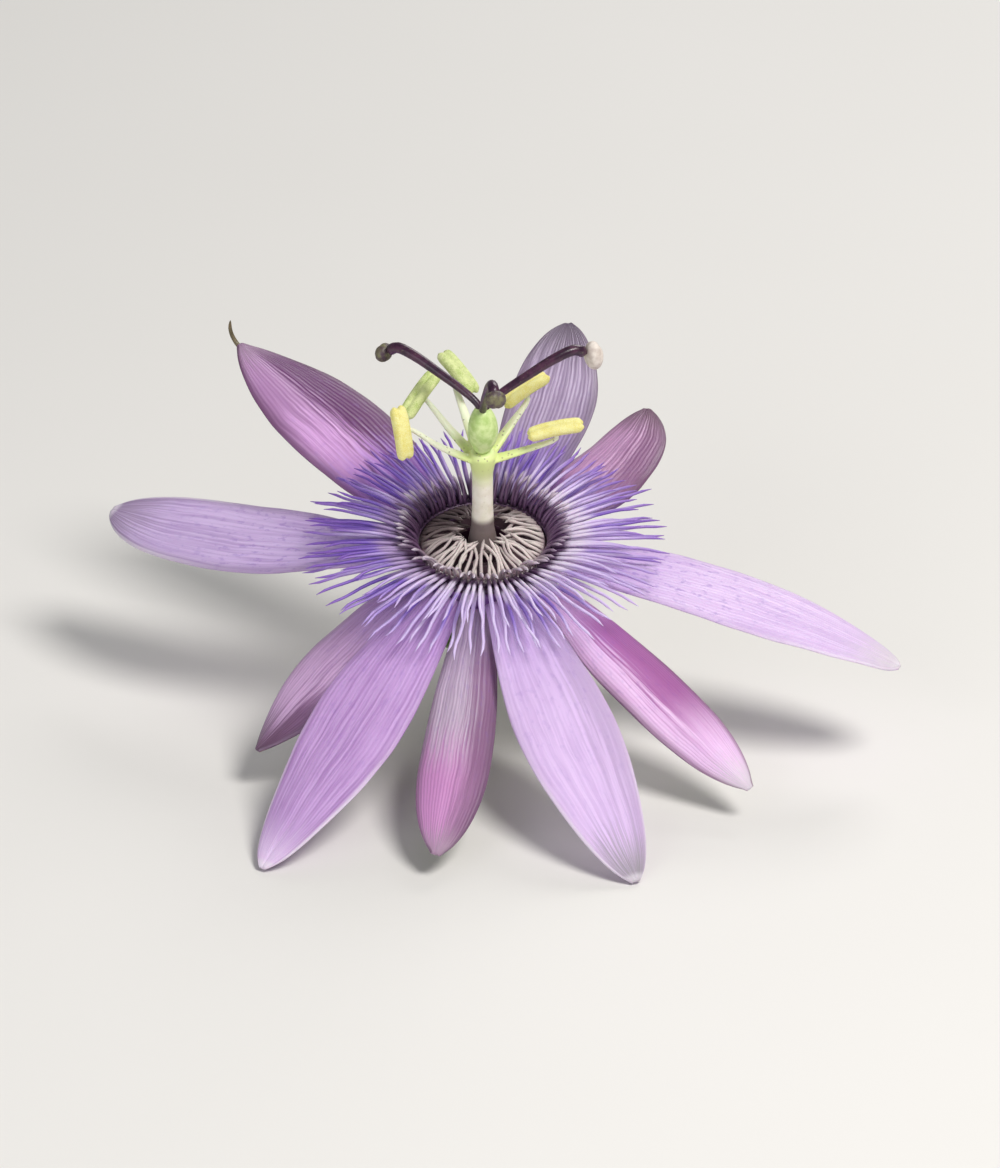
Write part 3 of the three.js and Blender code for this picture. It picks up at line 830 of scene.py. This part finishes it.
def tepal_front(name, mark, given):
    """The upper face of a sepal or petal, streaked from body to pale. deep lies under the corona, blush over
    the blade past tip_from and end over the tip. shade is painted shade, with some of the blade's own tint,
    on one side of the midrib, from side_from across it, and from where it begins to where it fades. edge lies
    along the margins, the blade is flecked with deep, and a thin painted highlight runs round the tip."""
    tones = {**PLAIN, **given}

    @skin(name, bump=0.45, depth=0.12, **FLESH, **VELVET)
    def made(t):
        u, v, _ = t.map()
        veins = t.veins(u, v, count=26, mark=mark)
        patches = t.mottling(t.place(), size=9, mark=mark)["Patches"]
        tone = t.blend(veins["Streak"], tones["pale"], tones["body"])
        tone = t.blend(t.between(patches, 0, 1, 0, 0.35), tone, tones["pale"])
        across = t.minus(t.times(v, 2.0), 1.0)
        waver = t.times(t.minus(veins["Streak"], 0.5), 0.35)
        wavering = t.plus(u, t.times(waver, 0.3))
        over_tip = t.between(wavering, tones["tip_from"], tones["tip_from"] + 0.25, 0, tones["tip_share"])
        tone = t.blend(over_tip, tone, tones["blush"])
        # painted shade, with some of the blade's own tint, on one side of the midrib
        leaning = t.plus(t.times(across, tones["side"]), waver)
        reach = tones["side_from"] + tones["side_over"]
        side_shade_and_tint = t.between(leaning, tones["side_from"], reach, 0, tones["side_share"])
        faded = t.between(u, tones["fades"] + 0.3, tones["fades"])
        begun = t.between(u, tones["begins"], tones["begins"] + 0.25)
        side_shade_and_tint = t.times(t.times(side_shade_and_tint, begun), faded)
        tone = t.blend(side_shade_and_tint, tone, tones["shade"])
        tone = t.blend(t.between(wavering, tones["end_from"], 1.0, 0, 0.9), tone, tones["end"])
        flecks = t.noise(t.vector(t.times(u, 30.0), t.times(v, 14.0), mark), 1.0, 3.0, 0.6)
        flecks = t.between(flecks, 0.54, 0.66, 0, tones["flecked"])
        flecks = t.times(flecks, t.between(u, 0.85, 0.25, 0.25, 1))
        tone = t.blend(flecks, tone, tones["deep"])
        under = t.between(t.plus(u, t.times(waver, 0.5)), 0.42, 0.14, 0, tones["deep_share"])
        tone = t.blend(under, tone, tones["deep"])
        margin = t.between(t.math("ABSOLUTE", across), 0.68, 1.0, 0, tones["rim"])
        margin = t.times(margin, t.between(u, tones["rim_from"] - 0.01, tones["rim_from"] + 0.3))
        tone = t.blend(margin, tone, tones["edge"])
        # painted highlight: a thin pale line along the margins past mid-blade and round the tip
        hem_highlight = t.times(t.between(t.math("ABSOLUTE", across), 0.88, 0.96), t.between(u, 0.4, 0.8))
        hem_highlight = t.math("MAXIMUM", hem_highlight, t.between(u, 0.965, 0.985))
        tone = t.blend(t.times(hem_highlight, tones["hem_highlight"]), tone, (238, 230, 240))
        return tone, veins["Relief"], t.between(veins["Streak"], 0, 1, 0.42, 0.56)

    return made


@skin("petal back", roughness=0.55, bump=0.4, depth=0.12, **FLESH, **VELVET)
def petal_back(t):
    u, _, tone, relief = t.veined((222, 204, 232), (176, 140, 198), count=20, mark=4)
    return t.blend(t.between(u, 0.3, 0.0, 0, 0.6), tone, (214, 220, 196)), relief


@skin("sepal back", roughness=0.5, bump=0.45, depth=0.14, **FLESH)
def sepal_back(t):
    """Green behind, paler at the root, with purple-brown margins."""
    u, v, tone, relief = t.veined((146, 168, 92), (98, 128, 62), count=16, mark=7)
    tone = t.blend(t.between(u, 0.45, 0.0, 0, 0.8), tone, (186, 200, 132))
    across = t.math("ABSOLUTE", t.minus(t.times(v, 2.0), 1.0))
    margin = t.math("MAXIMUM", t.between(across, 0.5, 0.98, 0, 0.85), t.between(u, 0.8, 1.0, 0, 0.7))
    return t.blend(margin, tone, (112, 66, 88)), relief


def towards(t, place, azimuth):
    """How far a place lies towards an azimuth: 1 that way, -1 the other way."""
    x, y, _ = t.split(place)
    way = polar(1, azimuth)
    return t.math("DIVIDE", t.plus(t.times(x, way.x), t.times(y, way.y)), from_axis(t, x, y))


def from_axis(t, x, y):
    return t.math("SQRT", t.plus(t.times(x, x), t.times(y, y)))


def ray_skin(name, white_from, white_to):
    """Rays: dark purple at the foot, a pale band, then violet to light lilac. The band's ends are shares of a
    ray's length, and each ray's own mark moves them and sets how light it is. Painted light makes the rays
    paler on one side, and paints their ends palest in front."""

    @skin(name, roughness=0.45, bump=0.25, depth=0.06, **FLESH)
    def made(t):
        u, mark, _ = t.map()
        place = t.place()
        grain = t.mottling(place, size=1.2, mark=3)["Grain"]
        shift = t.times(t.minus(mark, 0.5), 0.09)
        where = t.plus(t.plus(u, shift), t.times(t.minus(grain, 0.5), 0.07))
        # painted light: the band and the violet are paler on the side towards azimuth 325, where the key
        # light falls
        painted_light_side = t.between(towards(t, place, 325), -0.7, 0.6)
        band = t.blend(painted_light_side, (160, 134, 184), (226, 212, 236))
        tone = t.blend(t.between(where, white_from - 0.06, white_from + 0.05), (88, 60, 96), band)
        # each ray's own mark, raised by the painted light of the lit side, sets how light its violet is
        light = t.between(t.plus(mark, t.times(painted_light_side, 0.5)), 0.45, 1.05)
        violet = t.blend(light, (122, 90, 186), (218, 198, 240))
        tone = t.blend(t.between(where, white_to - 0.08, white_to + 0.08), tone, violet)
        # painted light: the ends are palest in front, towards azimuth 285
        end = t.blend(t.between(towards(t, place, 285), 0.2, 1.0), (132, 94, 184), (222, 202, 244))
        tone = t.blend(t.between(where, 0.5, 0.95, 0, 0.9), tone, end)
        return tone, grain

    return made


@skin("palisade filaments", roughness=0.4, bump=0.25, depth=0.05, **FLESH)
def palisade_skin(t):
    """Dark purple filaments with some light heads, painted lighter grey-lilac in front, where light falls on
    them.
    """
    u, mark, _ = t.map()
    place = t.place()
    grain = t.mottling(place, size=0.8, mark=5)["Grain"]
    # painted light: stems and heads lighter in front, where light falls on them
    front = t.between(towards(t, place, 270), 0.35, 0.85)
    stem = t.blend(front, (96, 68, 100), (194, 180, 186))
    head = t.blend(mark, (112, 84, 118), (210, 198, 210))
    head = t.blend(t.times(front, 0.7), head, (206, 194, 204))
    return t.blend(t.between(u, 0.55, 0.96), stem, head), grain


@skin("cream fringe", roughness=0.5, bump=0.25, depth=0.05, **FLESH)
def fringe_skin(t):
    """Greyish cream strands, brown-purple at the foot, with painted shade that darkens them towards the back.
    """
    u, mark, _ = t.map()
    place = t.place()
    grain = t.mottling(place, size=1, mark=6)["Grain"]
    cream = t.blend(mark, (184, 170, 170), (216, 202, 198))
    where = t.plus(u, t.times(t.minus(grain, 0.5), 0.15))
    tone = t.blend(t.between(where, 0.0, 0.25), (124, 98, 112), cream)
    # painted shade: the strands darken towards the back, where the column's shadow falls
    back = t.between(towards(t, place, 120), -0.1, 0.6, 0, 0.9)
    tone = t.blend(back, tone, (82, 64, 66))
    return tone, grain


@skin("calyx cup", roughness=0.42, bump=0.3, depth=0.12, **FLESH)
def cup_skin(t):
    """Pale yellow-green outside with faint streaks, violet at the rim and dark purple inside it."""
    place = t.place()
    x, y, z = t.split(place)
    radius = from_axis(t, x, y)
    angle = t.math("ARCTAN2", y, x)
    mottling = t.mottling(place, size=3, mark=1)
    round_x, round_y = (t.times(t.math(wave, angle), 9.0) for wave in ("SINE", "COSINE"))
    streak = t.noise(t.vector(round_x, round_y, t.times(z, 0.12)), 1.0, 3.0, 0.6)
    tone = t.blend(t.between(streak, 0.4, 0.62), (206, 214, 150), (160, 182, 92))
    tone = t.blend(t.between(mottling["Patches"], 0, 1, 0, 0.3), tone, (222, 226, 176))
    tone = t.blend(t.between(z, RIM_FOOT - 1.6, RIM_FOOT), tone, (128, 84, 160))
    inside = t.times(t.between(z, RIM_TOP - 0.35, RIM_TOP - 0.1), t.between(radius, RIM, RIM - 0.5))
    groove = t.between(radius, SHOULDER + 0.1, SHOULDER - 0.1)
    top = t.math("GREATER_THAN", z, GROOVE_FLOOR - 0.3)
    dark = t.math("MAXIMUM", inside, t.times(groove, top))
    tone = t.blend(dark, tone, (104, 78, 90))
    return tone, mottling["Grain"]


def plain_tissue(name, light, dark, size, roughness=0.45, depth=0.08):
    """Tissue mottled between two tones, in patches of a size in millimetres."""

    @skin(name, depth=depth)
    def made(t):
        _, tone, grain = t.tissue(light, dark, size, mark=2)
        return tone, grain, t.between(grain, 0.3, 0.7, roughness - 0.06, roughness + 0.06)

    return made


@skin("column", roughness=0.4, bump=0.3, depth=0.08, **FLESH)
def column_skin(t):
    """Dark at the foot, then cream, turning yellow-green where the filaments leave, with purple specks."""
    place, tone, grain = t.tissue((250, 244, 230), (236, 230, 208), size=1.6, mark=2)
    z = t.split(place)[2]
    tone = t.blend(t.between(z, 9.0, 13.5, 0, 0.95), tone, (220, 234, 150))
    tone = t.blend(t.between(z, 14.5, 17.0), tone, (232, 236, 208))
    seeds = t.add("TexVoronoi", Vector=place, Scale=1.3).outputs["Distance"]
    specks = t.times(t.between(seeds, 0.22, 0.12, 0, 0.6), t.between(z, 12.5, 15.5, 0.15, 1))
    tone = t.blend(specks, tone, (120, 92, 104))
    return t.blend(t.between(z, 4.9, 3.6, 0, 0.85), tone, (84, 58, 70)), grain


def anther_skin(name, light, dark):
    """Dusty with pollen."""

    @skin(name, roughness=0.8, bump=0.6, depth=0.12)
    def made(t):
        place, tone, grain = t.tissue(light, dark, size=1.1, mark=8)
        dust = t.between(t.noise(place, 9.0, 3.0, 0.7), 0.5, 0.62, 0, 0.6)
        tone = t.blend(dust, tone, (252, 250, 204))
        return tone, t.plus(grain, t.noise(place, 12.0, 2.0, 0.6))

    return made


@skin("style", roughness=0.3, bump=0.25, depth=0.06)
def style_skin(t):
    place, tone, grain = t.tissue((44, 20, 42), (78, 42, 66), size=1.4, mark=9)
    flecks = t.between(t.noise(place, 2.6, 3.0, 0.6), 0.6, 0.72, 0, 0.5)
    return t.blend(flecks, tone, (112, 104, 84)), grain


@skin("stalk", roughness=0.45, bump=0.35, depth=0.12)
def stalk_skin(t):
    u = t.map()[0]
    _, tone, grain = t.tissue((134, 164, 82), (98, 130, 58), size=2.4, mark=11)
    tone = t.blend(t.between(u, 0.16, 0.0, 0, 0.6), tone, (176, 196, 118))
    return t.blend(t.between(u, 0.9995, 1.0), tone, (206, 214, 160)), grain


def bract_skin(name, light, dark):
    @skin(name, roughness=0.48, bump=0.4, depth=0.16, **FLESH)
    def made(t):
        _, v, tone, relief = t.veined(light, dark, count=14, mark=13)
        middle = t.math("ABSOLUTE", t.minus(v, 0.5))
        tone = t.blend(t.between(middle, 0.05, 0.0, 0, 0.6), tone, (176, 196, 120))
        net = t.add("TexVoronoi", Vector=t.place(), Scale=0.9)
        net.feature = "DISTANCE_TO_EDGE"
        ribs = t.between(net.outputs["Distance"], 0.0, 0.12)
        tone = t.blend(t.times(t.minus(1.0, ribs), 0.3), tone, (160, 186, 104))
        return tone, t.minus(relief, t.times(ribs, 0.4))

    return made


# What a blade's tones are where its own row doesn't say. Colours are screen values, and the rest is as
# tepal_front tells.
PLAIN = dict(
    body=(170, 142, 190), pale=(200, 174, 214), deep=(122, 82, 178), deep_share=0.65, flecked=0.16,
    blush=(200, 142, 196), tip_from=0.42, tip_share=0.0, end=(214, 196, 222), end_from=0.8,
    shade=(150, 110, 150), side=1, side_from=0.1, side_over=0.7, side_share=0.0, begins=0.0, fades=1.0,
    edge=(130, 106, 136), rim=0.5, rim_from=0.0, hem_highlight=0.0,
)
SEPAL_TONES = [
    dict(body=(160, 116, 158), pale=(204, 154, 198), deep=(112, 70, 156), deep_share=0.95,
         shade=(126, 72, 120), side=-1, side_from=-0.1, side_share=0.9, end=(98, 64, 86), end_from=0.7,
         edge=(100, 76, 96), rim=0.6),
    dict(body=(178, 126, 184), pale=(220, 172, 226), deep=(146, 92, 194), deep_share=0.7,
         blush=(158, 114, 160), tip_from=0.45, tip_share=0.8, shade=(92, 22, 94), side=-1, side_from=-0.25,
         side_over=0.5, side_share=1.0, fades=0.85, end=(150, 122, 148), end_from=0.84, edge=(94, 54, 90),
         rim=0.8),
    dict(body=(172, 134, 178), pale=(210, 174, 214), deep_share=0.3, shade=(92, 48, 90), side_from=-0.2,
         side_share=0.8, begins=0.5, end=(92, 60, 86), end_from=0.7, edge=(134, 114, 138)),
    dict(body=(170, 148, 174), pale=(206, 186, 208), deep_share=0.05, blush=(196, 134, 190), tip_share=0.95,
         shade=(128, 84, 124), side_from=-0.1, side_share=0.9, end=(168, 140, 164), end_from=0.84,
         edge=(104, 76, 102), rim=0.7, rim_from=0.15),
    dict(body=(222, 176, 224), pale=(242, 206, 244), deep_share=0.15, shade=(170, 100, 164), side_from=-0.5,
         side_over=0.4, side_share=1.0, fades=0.52, end=(222, 213, 222), edge=(112, 72, 104), rim=0.75,
         rim_from=0.15),
]
PETAL_TONES = [
    # petal_1: painted shade, its blade duller and its tip dark where it lies in shadow
    dict(body=(136, 114, 148), pale=(172, 150, 184), end=(88, 72, 92), end_from=0.58, edge=(112, 94, 116),
         rim=0.7),
    dict(body=(180, 152, 202), pale=(212, 188, 230), deep_share=0.1, flecked=0.4, end=(152, 132, 162),
         end_from=0.74, edge=(132, 112, 144), rim=0.6, hem_highlight=0.6),
    dict(body=(172, 130, 190), pale=(206, 168, 222), deep_share=0.05, end=(236, 212, 246),
         edge=(160, 124, 174), hem_highlight=0.6),
    dict(body=(196, 166, 214), pale=(222, 194, 236), deep_share=0.1, shade=(184, 158, 198), side_share=0.8,
         end=(146, 142, 146), end_from=0.78, edge=(196, 172, 208), hem_highlight=0.5),
    dict(body=(202, 172, 220), pale=(222, 196, 234), deep_share=0.15, flecked=0.4, end=(216, 208, 214),
         edge=(192, 170, 204), rim=0.4, hem_highlight=0.4),
]


# ------ the flower put together


def build_tepals():
    horn = plain_tissue("awn", (122, 106, 76), (84, 76, 52), size=1.2)
    for i, spec in enumerate(SEPALS, 1):
        place = tepal_surface(spec, **SEPAL)
        bm = blade(place, *TEPAL_CELLS, keel=SEPAL_KEEL)
        awn(bm, place, **AWNS[i - 1])
        front = tepal_front(f"sepal {i} front", i, SEPAL_TONES[i - 1])
        piece(bm, f"sepal_{i}", [front, sepal_back, horn], spec["root"], rounds=1)
    for i, spec in enumerate(PETALS, 1):
        if spec.get("rests"):
            spec = resting(spec, f"petal_{i}")
        bm = blade(tepal_surface(spec, **PETAL), *TEPAL_CELLS)
        front = tepal_front(f"petal {i} front", 10 + i, PETAL_TONES[i - 1])
        piece(bm, f"petal_{i}", [front, petal_back], spec["root"], rounds=1)


def build_calyx():
    piece(calyx_cup(), "calyx_cup", [cup_skin])
    piece(stalk(), "stalk", [stalk_skin])
    upper = bract_skin("bract inside", (122, 154, 72), (88, 122, 50))
    lower = bract_skin("bract outside", (108, 142, 62), (74, 108, 42))
    for i in range(BRACT["count"]):
        azimuth = BRACT["first"] + 360 / BRACT["count"] * i
        bm = blade(bract_surface(), *BRACT_CELLS, keel=BRACT_KEEL)
        piece(bm, f"bract_{i + 1}", [upper, lower], azimuth, rounds=1)


def build_corona():
    skins = {
        "corona_outer_rays": ray_skin("outer rays", white_from=0.14, white_to=0.31),
        "corona_second_rays": ray_skin("second rays", white_from=0.25, white_to=0.46),
        "corona_palisade": palisade_skin,
        "operculum_fringe": fringe_skin,
    }
    for seed, (node, row) in enumerate(CORONA.items(), 11):
        piece(corona_row(row, seed), node, [skins[node]])
    dark = plain_tissue("limen", (74, 36, 62), (44, 18, 38), size=1.2, roughness=0.35)
    piece(limen(), "limen", [dark], rounds=1)


def build_column():
    made = piece(androgynophore(), "androgynophore", [column_skin])
    knit(made, voxel=0.16, rounds=6)
    ripe = anther_skin("ripe anther", (246, 240, 160), (234, 222, 122))
    greener = anther_skin("greener anther", (224, 234, 164), (182, 202, 116))
    for i, stamen in enumerate(STAMENS, 1):
        made = piece(anther(stamen), f"anther_{i}", [greener if i in (3, 4) else ripe])
        knit(made, voxel=0.11, rounds=3)
    green = plain_tissue("ovary", (216, 234, 164), (178, 208, 120), size=1.1, roughness=0.38)
    piece(ovary(), "ovary", [green])
    pale = plain_tissue("pale stigma", (234, 224, 214), (204, 190, 180), size=0.8, roughness=0.5, depth=0.1)
    dusky = plain_tissue("dusky stigma", (122, 118, 84), (72, 52, 66), size=0.8, depth=0.1)
    for i, bearing in enumerate(STYLES, 1):
        lift, azimuth = bearing["lift"], bearing["azimuth"]
        piece(style(lift), f"style_{i}", [style_skin], azimuth)
        piece(stigma(lift, bearing["head"]), f"stigma_{i}", [pale if i == 1 else dusky], azimuth)


# ------ floor, light and camera


@skin("pale floor", roughness=0.7, bump=0.05)
def floor_skin(t):
    place = t.add("TexCoord").outputs["Object"]
    cloudy = t.noise(place, 6.0, 3.0, 0.5)
    return t.blend(cloudy, (226, 224, 220), (232, 230, 227)), cloudy


def build_floor():
    bm = bmesh.new()
    bmesh.ops.create_grid(bm, x_segments=2, y_segments=2, size=1.5)
    mesh = bpy.data.meshes.new("floor")
    bm.to_mesh(mesh)
    bm.free()
    mesh.materials.append(floor_skin)
    added("floor", mesh)


def area_light(name, position, aim, size, power, tint):
    light = bpy.data.lights.new(name, "AREA")
    light.shape = "DISK"
    light.size = size
    light.energy = power
    light.color = tint
    lamp = added(name, light)
    lamp.location = position
    lamp.rotation_euler = (Vector(position) - Vector(aim)).to_track_quat("Z", "Y").to_euler()


def build_light():
    aim = (0, 0, 0.02)
    area_light("key", (0.36, -0.32, 0.72), aim, size=0.35, power=6.0, tint=(1.0, 0.98, 0.95))
    area_light("fill", (-0.4, -0.6, 0.25), aim, size=0.6, power=1.8, tint=(0.96, 0.98, 1.0))
    area_light("back", (0.25, 0.65, 0.5), aim, size=0.4, power=2.2, tint=(1.0, 0.99, 0.97))
    world = bpy.data.worlds.new("studio")
    world.use_nodes = True
    sky = world.node_tree.nodes["Background"].inputs
    sky["Color"].default_value = colour(236, 238, 242)
    sky["Strength"].default_value = 0.22
    bpy.context.scene.world = world
    bpy.context.scene.view_settings.view_transform = "Standard"


CAMERA_ELEVATION = math.radians(26)  # the tilt at which the photograph shows the flower
CAMERA_DISTANCE = 1.2
VIEW_WIDTH = 0.138  # how much the picture's width takes in at the flower
AIM = Vector((0, 0, 0.019))


def build_camera():
    camera = bpy.data.cameras.new("camera")
    camera.sensor_fit = "HORIZONTAL"
    camera.sensor_width = 36
    camera.lens = camera.sensor_width * CAMERA_DISTANCE / VIEW_WIDTH
    camera.clip_start = 0.01
    holder = added("camera", camera)
    back = Vector((0, -math.cos(CAMERA_ELEVATION), math.sin(CAMERA_ELEVATION)))
    holder.location = AIM + back * CAMERA_DISTANCE
    holder.rotation_euler = back.to_track_quat("Z", "Y").to_euler()
    bpy.context.scene.camera = holder


build_camera()
build_light()
build_floor()
build_tepals()
build_calyx()
build_corona()
build_column()

bpy.context.view_layer.update()
